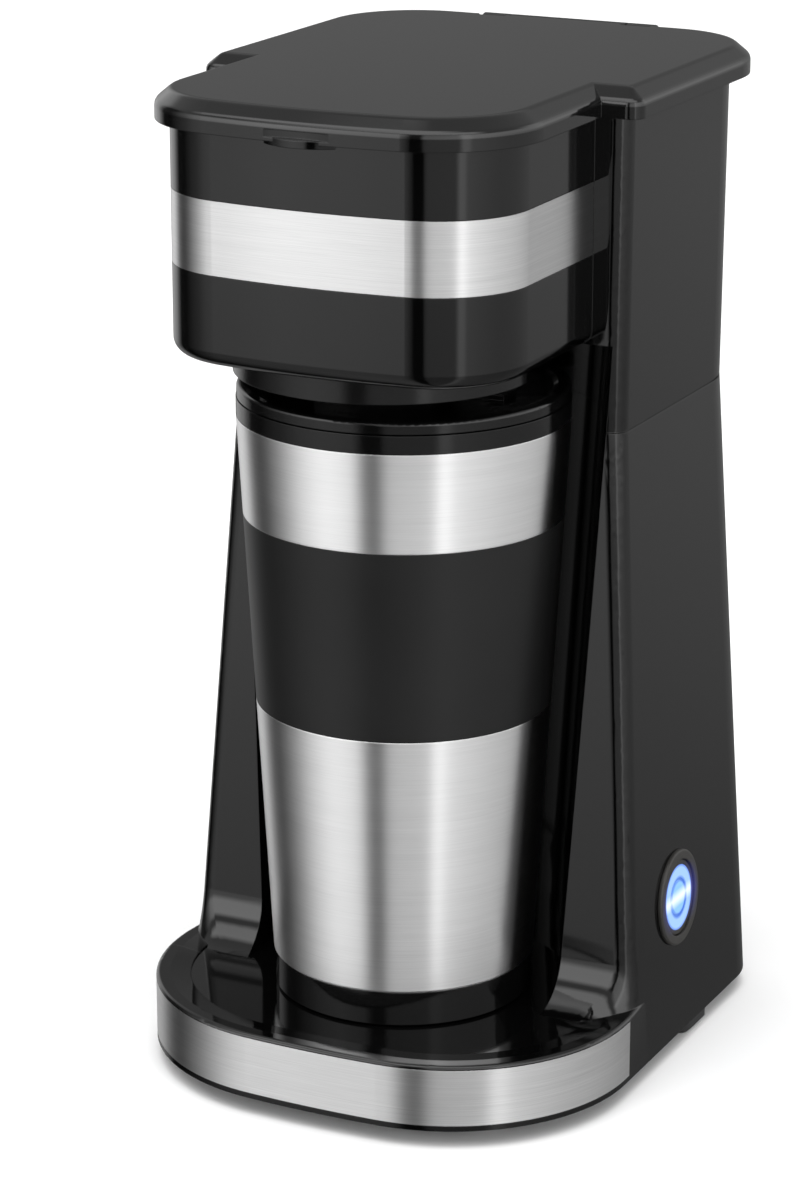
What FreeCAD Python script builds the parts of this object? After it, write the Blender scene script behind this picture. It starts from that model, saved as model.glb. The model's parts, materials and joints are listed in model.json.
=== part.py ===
import FreeCAD, Part
import math
import os

# Single-cup drip coffee maker with a travel mug, in millimetres.
# It stands on its feet at z = 0, faces -y, and its centre plane is x = 0.

V = FreeCAD.Vector

# Heights, stacked from the table upwards
foot_height = 5.0
base_lip_height = 1.5
base_band_height = 16.0
rim_height = 1.2
tray_depth = 1.2
stand_gap = 0.2
mug_foot_height = 9.8
mug_lower_height = 73.0
sleeve_height = 52.5
mug_upper_height = 27.0
collar_height = 5.0
mug_lid_height = 3.3
drip_headroom = 5.9
outlet_height = 6.5
head_lower_height = 24.0
head_band_height = 19.3
head_upper_height = 17.4
lid_band_height = 4.5
lid_bevel_height = 3.5
seam_drop = 23.0

# Base and column in plan
base_half_width = 69.0
base_front = 83.2
base_rear = 77.0
base_bow_radius = 315.0
base_corner_radius = 52.7
column_half_width = 58.0
column_top_flare = 0.5
column_front = 15.0
column_rear = 74.0
arm_edge = 3.06
column_front_corner = 5.0
column_rear_corner = 24.0
arm_toe = 9.5
toe_reach = 14.0
toe_height = 14.0
toe_steps = 6
toe_slope = 15.0
toe_root = -10.0
rim_radius = 1.1
rim_width = 4.0
tray_inset = 9.7
tray_step = 0.4
band_reach = 27.0
heel_end = -14.0
seam_groove = 0.5
lap_height = 3.0

# Head and lid in plan
head_half_width = 49.3
head_front = 82.5
head_bow_radius = 211.0
head_corner_radius = 25.4
head_edge_radius = 4.0
lid_overhang = 3.8
lid_side_overhang = 5.2
lid_ear_overhang = 5.0
lid_rear_overhang = 6.1
lid_bevel_inset = 4.2
lid_edge_radius = 2.5
lid_edge_steps = 5
lid_ear_corner = 4.0
lid_rear_corner = 29.0
lip_half_width = 10.0
lip_reach = 1.2
lip_drop = 1.0
lip_height = 2.0
pocket_depth = 1.2
pocket_height = 2.0
lid_bolt_inset = 10.0
lid_bolt_radius = 1.2
lid_bolt_head = 2.4
lid_bolt_head_height = 1.0
lid_boss_radius = 3.0

# Walls, bands and fits
wall = 2.2
platform_thickness = 2.5
lid_top_thickness = 2.8
liner_thickness = 2.0
band_thickness = 0.8
fit = 0.05
slip = 0.2
moving_gap = 0.3

# Lid hinge
barrel_radius = 4.5
pin_radius = 1.6
pin_clearance = 0.06
tongue_half_width = 17.7
lug_width = 8.0
lug_gap = 0.5
lug_drop = 12.0
barrel_gap = 0.4

# Mug
mug_axis_y = -26.0
mug_bottom_radius = 36.0
mug_top_radius = 44.7
mug_wall = 1.9
mug_edge = 0.6
sleeve_depth = 1.0
mug_space = 3.1
mug_liner_wall = 0.8
mug_floor_lift = 8.0
mug_foot_inset = 0.5
mug_foot_spigot = 5.0
collar_wall = 5.7
plug_depth = 10.0
plug_wall = 3.0
lid_rim_width = 3.2
lid_deck_drop = 1.5
lid_deck_thickness = 3.6
lid_rim_radius = 1.0
seal_width = 1.2
seal_height = 3.0
sip_radius = 4.0
sip_offset = 29.0
sip_travel = 11.0
slider_length = 12.0
slider_width = 11.0
slider_thickness = 1.4
nub_height = 1.5
fill_radius = 5.0

# Filter
basket_side_gap = 3.9
basket_front_gap = 0.9
basket_rim_width = 1.2
basket_taper = 8.0
basket_wall = 1.6
basket_height = 41.5
basket_foot = 2.0
basket_hole_radius = 3.2
frame_gap = 0.8
frame_wall = 1.4
frame_flange = 1.2
frame_floor_lift = 3.5
frame_ribs = 6
rib_width = 3.5
mesh_thickness = 0.5
nozzle_radius = 5.0
nozzle_bore = 3.0
skirt_thickness = 2.5
outlet_plate = 2.0
outlet_tail = 9.0

# Water path
tank_gap = 1.0
tank_wall = 1.8
tank_front_corner = 4.0
tank_top_drop = 4.7
shelf_drop = 49.0
shelf_thickness = 3.0
tube_radius = 4.0
tube_bore = 2.8
hose_wall = 1.5
hose_bend = 12.0
nipple_length = 13.0
nipple_overlap = 9.0
inlet_setback = 8.0
riser_gap = 2.5
valve_drop = 45.0
valve_radius = 8.0
valve_floor = 4.0
valve_cap_height = 4.0
valve_chamber_radius = 5.2
ball_radius = 3.6
ball_seat_bore = 2.2
ball_travel = 2.0
ball_gap = 0.15
boiler_half_span = 44.0
boiler_centre_y = -20.0
boiler_leg_margin = 3.3
boiler_lift = 6.6
rod_radius = 3.5
rod_gap = 0.2
rod_tail = 1.0
saddle_length = 10.0
saddle_margin = 9.0
saddle_y = -6.0
strap_height = 1.2
strap_bolt_radius = 1.5
strap_bolt_head = 3.0
strap_bolt_head_height = 1.0
strap_bolt_length = 4.5
thermostat_radius = 5.5
thermostat_length = 7.0
fuse_radius = 2.5
fuse_length = 18.0
spout_bend = 6.0
spout_reach_x = 20.0
spout_reach_y = 24.0
spout_drop = 3.0
spout_clearance = 1.5
clip_height = 3.0
clip_margin = 3.0
clip_drop = 14.0
clamp_wall = 0.6
clamp_width = 4.0

# Power button, on the right wall
button_y = 10.5
button_z = 44.8
bezel_radius = 13.5
bezel_flange = 1.2
bezel_sleeve_radius = 12.1
bezel_depth = 9.0
button_radius = 10.5
button_stand = 0.6
button_depth = 6.5
button_travel = 2.0
lens_radius = 9.2
lens_thickness = 1.0
lens_ring_radius = 5.4
lens_ring_width = 0.8
stem_radius = 3.0
stem_length = 4.5
switch_gap = 1.0
switch_half = 7.0
switch_depth = 4.2
board_half_height = 16.0
board_half_length = 12.0
board_thickness = 1.6
board_post_radius = 2.5
board_post_inset = 2.8
board_bolt_radius = 1.2
board_bolt_head = 2.4
board_bolt_head_height = 1.2
board_bolt_length = 8.0
led_radius = 1.5
led_height = 4.0

# Base fittings
plate_thickness = 2.5
post_radius = 4.0
post_inset = 9.0
post_turn = 50.0
rear_post_x = 52.0
rear_post_y = 50.0
base_bolt_radius = 1.5
base_bolt_head = 3.5
base_bolt_head_height = 1.5
base_bolt_length = 9.0
rib_thickness = 3.0
boss_radius = 3.4
boss_height = 12.0
boss_setback = 33.0
foot_half_width = 6.0
foot_half_length = 8.5
foot_corner = 3.5
foot_chamfer = 1.0
front_foot_x = 46.0
front_foot_y = -44.0
rear_foot_x = 61.5
rear_foot_y = 26.0
terminal_half_x = 12.0
terminal_half_y = 6.0
terminal_height = 12.0
terminal_y = 58.0
gland_x = -30.0
gland_z = 40.0
gland_radius = 6.0
gland_flange = 2.0
gland_flange_height = 1.6
gland_bore = 3.6
gland_nut_height = 4.0
gland_nose_radius = 5.2
rear_reach = 87.5

# Heights worked out from the stack
base_bottom = foot_height
base_band_bottom = base_bottom + base_lip_height
base_band_top = base_band_bottom + base_band_height
rim_z = base_band_top + rim_height
platform_z = rim_z - tray_depth
platform_under = platform_z - wall
mug_bottom = platform_z + stand_gap
steel_bottom = mug_bottom + mug_foot_height
sleeve_bottom = steel_bottom + mug_lower_height
sleeve_top = sleeve_bottom + sleeve_height
steel_top = sleeve_top + mug_upper_height
collar_top = steel_top + collar_height
mug_lid_bottom = collar_top + moving_gap
mug_lid_top = mug_lid_bottom + mug_lid_height
outlet_bottom = mug_lid_top + drip_headroom
head_bottom = outlet_bottom + outlet_height
head_floor = head_bottom + platform_thickness
head_band_bottom = head_bottom + head_lower_height
head_band_top = head_band_bottom + head_band_height
head_top = head_band_top + head_upper_height
lid_bottom = head_top + moving_gap
lid_crease = lid_bottom + lid_band_height
lid_top = lid_crease + lid_bevel_height
seam_z = head_bottom - seam_drop
plate_top = base_bottom + plate_thickness
shelf_z = seam_z - shelf_drop

# Places worked out from the sizes
column_top_half_width = column_half_width + column_top_flare
column_top_rear = column_rear + column_top_flare
mug_slope = (mug_top_radius - mug_bottom_radius) / (steel_top - steel_bottom)
lid_front = head_front + lid_overhang
lid_half_width = head_half_width + lid_overhang
lid_rear_half_width = column_top_half_width + lid_side_overhang
lid_rear = column_top_rear + lid_rear_overhang
hinge_y = column_top_rear + barrel_gap + barrel_radius
hinge_z = lid_bottom + barrel_radius - lip_drop - slip
basket_radius = head_half_width - wall - basket_side_gap - basket_rim_width
basket_y = basket_radius + basket_rim_width + basket_front_gap + wall - head_front
basket_base = head_floor + basket_foot
basket_top = head_floor + basket_height
hose_bore = tube_radius + fit
hose_radius = hose_bore + hose_wall
boiler_z = plate_top + boiler_lift
rod_span = boiler_half_span - tube_radius - rod_gap - rod_radius


def mug_radius(z):
    """Outer radius of the tapered mug wall."""
    return mug_bottom_radius + (z - steel_bottom) * mug_slope


alcove_gap = column_half_width - arm_edge - mug_radius(seam_z)


def lower_size(z, inset):
    """Half width, front and rear of the flared lower column."""
    flare = (seam_z - z) / (seam_z - base_bottom)
    half_width = column_half_width + flare * (base_half_width - column_half_width) - inset
    front = -column_front - flare * arm_toe + inset
    rear = column_rear + flare * (base_rear - column_rear) - inset
    return half_width, front, rear


def upper_size(z, inset):
    """Half width, front and rear of the upper column."""
    rise = (z - seam_z) / (head_top - seam_z)
    half_width = column_half_width + rise * (column_top_half_width - column_half_width) - inset
    rear = column_rear + rise * (column_top_rear - column_rear) - inset
    return half_width, -column_front + inset, rear


tank_front = mug_axis_y + mug_radius(head_bottom) + alcove_gap + wall + tank_gap
tank_rear = column_rear - wall - tank_gap
tank_half_width = column_half_width - wall - tank_gap
tank_top = head_top - tank_top_drop
riser_y = tank_front - riser_gap - hose_radius
inlet_y = tank_front + inlet_setback
boiler_leg_end = riser_y - hose_bend - boiler_leg_margin


# Building blocks
def rounded_wire(points, radii, z):
    """Closed outline through corner points, each rounded by its own radius."""
    count = len(points)
    corners = [V(x, y, z) for x, y in points]
    edges = []
    ends = []
    for i in range(count):
        here = corners[i]
        back = (corners[i - 1] - here).normalize()
        ahead = (corners[(i + 1) % count] - here).normalize()
        half = back.getAngle(ahead) / 2
        reach = radii[i] / math.tan(half)
        middle = (back + ahead).normalize() * (radii[i] / math.sin(half) - radii[i])
        ends.append((here + back * reach, here + middle, here + ahead * reach))
    for i in range(count):
        first, middle, last = ends[i]
        edges.append(Part.Arc(first, middle, last).toShape())
        edges.append(Part.LineSegment(last, ends[(i + 1) % count][0]).toShape())
    return Part.Wire(edges)


def bowed_wire(half_width, front, bow, corner, rear, z):
    """Outline with a bowed front, two front corners and a straight rear edge."""
    side = half_width - corner
    bow_y = bow - front
    corner_y = bow_y - math.sqrt((bow - corner) ** 2 - side ** 2)
    lean = math.atan2(corner_y - bow_y, side)
    right = [
        V(half_width, rear, z),
        V(half_width, corner_y, z),
        V(side + corner * math.cos(lean / 2), corner_y + corner * math.sin(lean / 2), z),
        V(side + corner * math.cos(lean), corner_y + corner * math.sin(lean), z),
    ]
    left = [V(-p.x, p.y, p.z) for p in right]
    edges = [
        Part.LineSegment(right[0], right[1]).toShape(),
        Part.Arc(right[1], right[2], right[3]).toShape(),
        Part.Arc(right[3], V(0, -front, z), left[3]).toShape(),
        Part.Arc(left[3], left[2], left[1]).toShape(),
        Part.LineSegment(left[1], left[0]).toShape(),
        Part.LineSegment(left[0], right[0]).toShape(),
    ]
    return Part.Wire(edges)


def slab(wire, height):
    """Outline raised straight up."""
    return Part.Face(wire).extrude(V(0, 0, height))


def box(x0, x1, y0, y1, z0, z1):
    return Part.makeBox(x1 - x0, y1 - y0, z1 - z0, V(x0, y0, z0))


def rod(radius, x, y, z0, z1):
    return Part.makeCylinder(radius, z1 - z0, V(x, y, z0))


def tube(outer, inner, x, y, z0, z1):
    return rod(outer, x, y, z0, z1).cut(rod(inner, x, y, z0, z1))


def bar_x(radius, x0, x1, y, z):
    return Part.makeCylinder(radius, x1 - x0, V(x0, y, z), V(1, 0, 0))


def bar_y(radius, x, y0, y1, z):
    return Part.makeCylinder(radius, y1 - y0, V(x, y0, z), V(0, 1, 0))


def turned(profile, x, y):
    """Solid of revolution from (radius, height) points about a vertical axis."""
    points = [V(x + r, y, z) for r, z in profile]
    face = Part.Face(Part.makePolygon(points + points[:1]))
    return face.revolve(V(x, y, 0), V(0, 0, 1), 360)


def bent_path(points, bend):
    """Straight runs through the points, joined by tangent arcs."""
    edges = []
    start = points[0]
    for i in range(1, len(points) - 1):
        here = points[i]
        back = (points[i - 1] - here).normalize()
        ahead = (points[i + 1] - here).normalize()
        half = back.getAngle(ahead) / 2
        reach = bend / math.tan(half)
        middle = here + (back + ahead).normalize() * (bend / math.sin(half) - bend)
        edges.append(Part.LineSegment(start, here + back * reach).toShape())
        edges.append(Part.Arc(here + back * reach, middle, here + ahead * reach).toShape())
        start = here + ahead * reach
    edges.append(Part.LineSegment(start, points[-1]).toShape())
    return Part.Wire(edges)


def bent_rod(points, bend, radius):
    """Round bar along a bent path."""
    circle = Part.Wire(Part.makeCircle(radius, points[0], points[1] - points[0]))
    return bent_path(points, bend).makePipeShell([circle], True, False)


def bent_tube(points, bend, outer, inner):
    return bent_rod(points, bend, outer).cut(bent_rod(points, bend, inner))


def joined(shapes):
    return shapes[0].fuse(shapes[1:]).removeSplitter()


def both_sides(make):
    """The same piece on the right and on the left."""
    return [make(1), make(-1)]


# Column, base and head volumes
def column_wire(size, z):
    half_width, front, rear = size
    points = [(half_width, front), (half_width, rear), (-half_width, rear), (-half_width, front)]
    radii = [column_front_corner, column_rear_corner, column_rear_corner, column_front_corner]
    return rounded_wire(points, radii, z)


def column_loft(size_at, inset, z0, z1):
    wires = [column_wire(size_at(z, inset), z) for z in (z0, z1)]
    return Part.makeLoft(wires, True, True)


def base_slab(inset, z0, z1):
    wire = bowed_wire(base_half_width - inset, base_front - inset, base_bow_radius - inset,
                      base_corner_radius - inset, -band_reach, z0)
    return slab(wire, z1 - z0)


def heeled_slab(inset, z0, z1):
    """Front of the base with the heel that runs back into the column."""
    wide = base_half_width - inset
    wires = []
    for z in (z0, z1):
        narrow = lower_size(z, inset)[0]
        points = [V(wide, -band_reach, z), V(narrow, heel_end, z),
                  V(-narrow, heel_end, z), V(-wide, -band_reach, z)]
        wires.append(Part.makePolygon(points + points[:1]))
    return joined([base_slab(inset, z0, z1), Part.makeLoft(wires, True, True)])


def head_slab(inset, z0, z1, rear):
    wire = bowed_wire(head_half_width - inset, head_front - inset, head_bow_radius - inset,
                      head_corner_radius - inset, rear, z0)
    return slab(wire, z1 - z0)


def alcove(grow, z0, z1):
    """Cone that follows the mug and leaves room round it."""
    spread = alcove_gap + grow
    foot = V(0, mug_axis_y, z0)
    return Part.makeCone(mug_radius(z0) + spread, mug_radius(z1) + spread, z1 - z0, foot)


def edges_at(shape, z, rear):
    """Edges lying at one height, apart from the straight rear one."""
    level = [e for e in shape.Edges if max(abs(v.Point.z - z) for v in e.Vertexes) < fit]
    return [e for e in level if min(v.Point.y for v in e.Vertexes) < rear - fit]


def lap_ring(grow, height):
    """Inner half of the wall at the seam, where the upper housing laps into the lower one."""
    z0 = seam_z - height
    ring = column_loft(lower_size, wall / 2 + grow, z0, seam_z)
    ring = ring.cut(column_loft(lower_size, wall - grow, z0, seam_z))
    return ring.cut(alcove(wall, z0, seam_z))


def boss_places():
    """Places of the seam screws, between the alcove and the side walls."""
    y = mug_axis_y + boss_setback
    alcove_edge = math.sqrt((mug_radius(seam_z) + alcove_gap + wall) ** 2 - boss_setback ** 2)
    x = (alcove_edge + column_half_width - wall) / 2
    return [(x, y), (-x, y)]


def seam_bosses(z0):
    """Two bosses for the seam screws, each with a rib to the side wall."""
    bosses = []
    for x, y in boss_places():
        inner, outer = sorted((x, math.copysign(column_half_width - wall / 2, x)))
        bosses.append(rod(boss_radius, x, y, z0, z0 + boss_height))
        bosses.append(box(inner, outer, y - rib_thickness / 2, y + rib_thickness / 2, z0, z0 + boss_height))
    return bosses


# Lower housing
def tray_wire(inset, z):
    return bowed_wire(base_half_width - inset, base_front - inset, base_bow_radius - inset,
                      base_corner_radius - inset, -column_front, z)


def tray():
    """Dished top of the base: a flat floor, a small step and a rim that slopes up to its crest."""
    edge = platform_z + tray_step
    floor = slab(tray_wire(tray_inset, platform_z), tray_step)
    slope = Part.makeLoft([tray_wire(tray_inset, edge), tray_wire(rim_width, rim_z)], True, True)
    return floor.fuse(slope)


def rimmed_base():
    base = heeled_slab(0, base_bottom, rim_z)
    base = base.makeFillet(min(rim_radius, rim_height), edges_at(base, rim_z, heel_end))
    return base.cut(tray())


def rim_zone():
    """Space of the rim in front of the arms' toes."""
    rear = lower_size(platform_z, 0)[1] - toe_reach
    return box(-base_half_width - 1, base_half_width + 1, -base_front - 1, rear, platform_z, rim_z + 1)


def toe_wire(reach, z):
    """Outline of the arms at one level of the sweep at their feet."""
    half_width, front, rear = lower_size(z, 0)
    front = front - reach
    points = [(half_width, front), (half_width, toe_root), (-half_width, toe_root), (-half_width, front)]
    corner = column_front_corner + reach
    return rounded_wire(points, [corner, 1, 1, corner], z)


def toes():
    """Concave sweep from the arms down to the base, carried round their front corners."""
    wires = []
    for i in range(toe_steps + 1):
        turn = math.radians(toe_slope + (90 - toe_slope) * i / toe_steps)
        reach = toe_reach * (1 - math.sin(turn))
        rise = toe_height * (math.cos(math.radians(toe_slope)) - math.cos(turn))
        wires.append(toe_wire(reach, platform_z + rise))
    first = toe_reach * (1 - math.sin(math.radians(toe_slope)))
    foot = Part.makeLoft([toe_wire(first, platform_under), wires[0]], True, True)
    return foot.fuse(Part.makeLoft(wires, True, False))


def front_posts():
    """Places of the screw posts under the front of the platform."""
    side = base_half_width - base_corner_radius
    bow_y = base_bow_radius - base_front
    corner_y = bow_y - math.sqrt((base_bow_radius - base_corner_radius) ** 2 - side ** 2)
    reach = base_corner_radius - wall - post_inset
    turn = math.radians(post_turn)
    x = side + reach * math.cos(turn)
    y = corner_y - reach * math.sin(turn)
    return [(x, y), (-x, y)]


def rear_posts():
    return [(rear_post_x, rear_post_y), (-rear_post_x, rear_post_y)]


def base_posts():
    """Screw posts for the base plate, the rear ones held by ribs on the side walls."""
    posts = []
    for x, y in front_posts():
        posts.append(rod(post_radius, x, y, plate_top, platform_under + fit))
    for x, y in rear_posts():
        edge = lower_size(platform_under, wall / 2)[0]
        inner, outer = sorted((x, math.copysign(edge, x)))
        posts.append(rod(post_radius, x, y, plate_top, platform_under))
        posts.append(box(inner, outer, y - rib_thickness / 2, y + rib_thickness / 2, plate_top, platform_under))
    return posts


def bolt_holes(radius):
    top = plate_top + base_bolt_length
    return [rod(radius, x, y, base_bottom - 1, top) for x, y in front_posts() + rear_posts()]


def tank_shelf():
    low = shelf_z - shelf_thickness
    plate = column_loft(lower_size, wall / 2, low, shelf_z)
    half_width, front, rear = lower_size(low, 0)
    return plate.common(box(-half_width, half_width, tank_front, rear, low, shelf_z))


def right_wall(shape):
    """Place a fitting, drawn with +z outwards, on the sloping right wall."""
    half_width = lower_size(button_z, 0)[0]
    lean = (base_half_width - column_half_width) / (seam_z - base_bottom)
    return placed(shape, V(half_width, button_y, button_z), V(1, 0, lean))


def rear_wall(shape):
    """Place a fitting, drawn with +z outwards, on the sloping rear wall."""
    rear = lower_size(gland_z, 0)[2]
    lean = (base_rear - column_rear) / (seam_z - base_bottom)
    return placed(shape, V(gland_x, rear, gland_z), V(0, 1, lean))


def placed(shape, point, outward):
    turn = FreeCAD.Rotation(V(0, 0, 1), outward)
    moved = shape.copy()
    moved.Placement = FreeCAD.Placement(point, turn)
    return moved


board_face = -(button_depth + button_travel + switch_gap + switch_depth)


def board_corners():
    a = board_half_height - board_post_inset
    b = board_half_length - board_post_inset
    return [(a, b), (a, -b), (-a, b), (-a, -b)]


def board_posts():
    posts = [rod(board_post_radius, a, b, board_face, -wall / 2) for a, b in board_corners()]
    return [right_wall(post) for post in posts]


def lower_housing():
    column = column_loft(lower_size, 0, base_bottom, seam_z)
    body = column.fuse([rimmed_base().cut(rim_zone()), toes()])
    body = body.cut(alcove(0, platform_z, seam_z + 1))

    tall = column_loft(lower_size, wall, base_bottom - 1, seam_z + 1)
    tall = tall.cut(alcove(wall, platform_under, seam_z + 1))
    body = body.cut([tall, heeled_slab(wall, base_bottom - 1, platform_under)])

    ring = base_slab(-1, base_band_bottom, base_band_top)
    ring = ring.cut(base_slab(band_thickness + fit, base_band_bottom, base_band_top))
    groove = column_loft(lower_size, -1, seam_z - seam_groove, seam_z + 1)
    groove = groove.cut(column_loft(lower_size, seam_groove, seam_z - seam_groove, seam_z + 1))
    body = body.fuse(base_posts() + board_posts() + seam_bosses(seam_z - boss_height) + [tank_shelf()])
    body = body.cut([ring, groove, lap_ring(0, lap_height)])

    button_hole = rod(bezel_sleeve_radius + slip, 0, 0, -wall * 2, wall)
    gland_hole = rod(gland_radius + fit, 0, 0, -wall * 2, wall)
    outlet_hole = rod(tube_radius + hose_wall + fit, boiler_half_span, inlet_y, shelf_z - shelf_thickness, shelf_z)
    pilots = [rod(board_bolt_radius + fit, a, b, board_face - 1, board_face + board_bolt_length)
              for a, b in board_corners()]
    holes = bolt_holes(base_bolt_radius + fit) + [right_wall(pilot) for pilot in pilots]
    holes += [rod(base_bolt_radius + slip, x, y, seam_z - boss_height - 1, seam_z + 1) for x, y in boss_places()]
    holes += [right_wall(button_hole), rear_wall(gland_hole), outlet_hole]
    return body.cut(holes).removeSplitter()


def base_rim():
    """Front of the rim round the tray, a piece of its own that lies on the base."""
    return rimmed_base().common(rim_zone()).removeSplitter()


# Upper housing
def hinge_lugs():
    """Two lugs on the rear wall that carry the hinge pin."""
    lugs = []
    for side in (1, -1):
        near = side * (tongue_half_width + lug_gap)
        x0, x1 = sorted((near, near + side * lug_width))
        barrel = bar_x(barrel_radius, x0, x1, hinge_y, hinge_z)
        arm = box(x0, x1, column_top_rear - wall / 2, hinge_y, hinge_z - lug_drop, head_top)
        neck = box(x0, x1, hinge_y - barrel_radius, hinge_y, hinge_z - lug_drop, hinge_z)
        lugs += [barrel, arm, neck]
    return lugs


def riser_clip():
    """Shelf on the left wall that holds the top of the riser hose."""
    z0 = tank_top - clip_drop
    reach = hose_radius + clip_margin
    edge = upper_size(z0, wall / 2)[0]
    return box(-edge, -boiler_half_span + reach, riser_y - reach, tank_front - tank_gap / 2, z0, z0 + clip_height)


def upper_housing():
    column = column_loft(upper_size, 0, seam_z, head_top)
    head = head_slab(0, head_bottom, head_top, 0)
    head = head.makeFillet(head_edge_radius, edges_at(head, head_bottom, 0))
    body = column.fuse(head)
    body = body.cut(alcove(0, seam_z - 1, head_bottom))

    bowl = head_slab(wall, head_floor, head_top + 1, 0)
    well = column_loft(upper_size, wall, head_floor, head_top + 1)
    shaft = column_loft(upper_size, wall, seam_z - 1, head_floor)
    shaft = shaft.cut(alcove(wall, seam_z - 1, head_floor))
    body = body.cut([bowl, well, shaft])

    ring = head_slab(-1, head_band_bottom, head_band_top, -column_front)
    ring = ring.cut(head_slab(band_thickness + fit, head_band_bottom, head_band_top, -column_front))
    body = body.cut(ring)

    body = body.fuse(hinge_lugs() + seam_bosses(seam_z) + [riser_clip(), lap_ring(fit, lap_height - slip)])
    pin_end = tongue_half_width + lug_gap + lug_width + 1
    holes = [
        bar_x(pin_radius + fit / 2, -pin_end, pin_end, hinge_y, hinge_z),
        rod(hose_radius + fit, -boiler_half_span, riser_y, tank_top - clip_drop - 1, tank_top),
        rod(nozzle_radius + slip, 0, basket_y, head_bottom - 1, head_floor + 1),
    ]
    holes += [rod(base_bolt_radius + fit, x, y, seam_z - 1, seam_z + boss_height - 1) for x, y in boss_places()]
    return body.cut(holes).removeSplitter()


def hinge_pin():
    end = tongue_half_width + lug_gap + lug_width
    return bar_x(pin_radius, -end, end, hinge_y, hinge_z)


# Steel bands
def base_band():
    z0 = base_band_bottom + fit
    z1 = base_band_top - fit
    return base_slab(0, z0, z1).cut(base_slab(band_thickness, z0, z1))


def head_band():
    z0 = head_band_bottom + fit
    z1 = head_band_top - fit
    end = -column_front - fit
    return head_slab(0, z0, z1, end).cut(head_slab(band_thickness, z0, z1, end))


# Base plate, feet and screws
def base_plate():
    inset = wall + moving_gap
    half_width, front, rear = lower_size(plate_top, inset)
    tail = slab(column_wire((half_width, front, rear), base_bottom), plate_thickness)
    plate = tail.fuse(heeled_slab(inset, base_bottom, plate_top))
    sinks = [rod(base_bolt_head + slip, x, y, base_bottom - 1, base_bottom + base_bolt_head_height)
             for x, y in front_posts() + rear_posts()]
    return plate.cut(bolt_holes(base_bolt_radius + slip) + sinks).removeSplitter()


def base_screws():
    screws = []
    for x, y in front_posts() + rear_posts():
        head = rod(base_bolt_head, x, y, base_bottom, base_bottom + base_bolt_head_height)
        shank = rod(base_bolt_radius, x, y, base_bottom, plate_top + base_bolt_length - 1)
        screws.append(joined([head, shank]))
    return Part.makeCompound(screws)


def seam_screws():
    screws = []
    low = seam_z - boss_height
    for x, y in boss_places():
        head = rod(base_bolt_head, x, y, low - base_bolt_head_height, low)
        shank = rod(base_bolt_radius, x, y, low, seam_z + boss_height - 2)
        screws.append(joined([head, shank]))
    return Part.makeCompound(screws)


def rubber_feet():
    places = [(front_foot_x, front_foot_y), (rear_foot_x, rear_foot_y)]
    feet = []
    for x, y in places + [(-x, y) for x, y in places]:
        x0 = x - foot_half_width
        x1 = x + foot_half_width
        y0 = y - foot_half_length
        y1 = y + foot_half_length
        wire = rounded_wire([(x0, y0), (x1, y0), (x1, y1), (x0, y1)], [foot_corner] * 4, 0)
        foot = slab(wire, foot_height)
        rim = [e for e in foot.Edges if max(abs(v.Point.z) for v in e.Vertexes) < fit]
        feet.append(foot.makeChamfer(min(foot_chamfer, foot_height / 3), rim))
    return Part.makeCompound(feet)


# Lid
def lid_front_wire(inset, z, rear):
    return bowed_wire(lid_half_width - inset, lid_front - inset, head_bow_radius + lid_overhang - inset,
                      head_corner_radius + lid_overhang - inset, rear, z)


def lid_rear_wire(inset, z):
    half_width = lid_rear_half_width - inset
    front = -column_front - lid_ear_overhang + inset
    rear = lid_rear - inset
    points = [(half_width, front), (half_width, rear), (-half_width, rear), (-half_width, front)]
    ear = max(lid_ear_corner - inset, lid_ear_corner / 4)
    radii = [ear, lid_rear_corner - inset, lid_rear_corner - inset, ear]
    return rounded_wire(points, radii, z)


def lid_profile():
    """Insets and heights up the lid's edge, with both edges of the bevel rounded."""
    corners = [V(0, 0, lid_bottom), V(0, 0, lid_crease), V(lid_bevel_inset, 0, lid_top),
               V(lid_bevel_inset + lid_bevel_height, 0, lid_top)]
    levels = [corners[0]]
    for before, here, after in zip(corners, corners[1:], corners[2:]):
        back = (before - here).normalize()
        ahead = (after - here).normalize()
        half = back.getAngle(ahead) / 2
        reach = lid_edge_radius / math.tan(half)
        middle = (back + ahead).normalize() * (lid_edge_radius / math.sin(half) - lid_edge_radius)
        arc = Part.Arc(here + back * reach, here + middle, here + ahead * reach)
        levels += arc.toShape().discretize(Number=lid_edge_steps)
    return [(level.x, level.z) for level in levels]


def lid_slab(inset, z0, z1):
    front = slab(lid_front_wire(inset, z0, 0), z1 - z0)
    return front.fuse(slab(lid_rear_wire(inset, z0), z1 - z0))


def hinge_notches():
    """Room in the lid for the two lugs."""
    notches = []
    for side in (1, -1):
        near = side * tongue_half_width
        x0, x1 = sorted((near, near + side * (lug_width + 2 * lug_gap)))
        front = column_top_rear - lug_gap
        notches.append(box(x0, x1, front, lid_rear + barrel_radius, lid_bottom - barrel_radius, lid_top + 1))
    return notches


def hinge_zone(grow):
    """Part of the lid that is left solid round the hinge."""
    width = tongue_half_width + lug_width + 2 * lug_gap + wall + grow
    front = column_top_rear - lug_gap - wall - grow
    return box(-width, width, front, lid_rear, lid_bottom - grow, lid_top)


def lid_bolts():
    """Places of the screws that hold the liner."""
    front = (lid_half_width - lid_bolt_inset, head_corner_radius - lid_front)
    rear = (lid_rear_half_width - lid_bolt_inset, lid_rear - lid_rear_corner)
    return [(side * x, y) for side in (1, -1) for x, y in (front, rear)]


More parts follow.
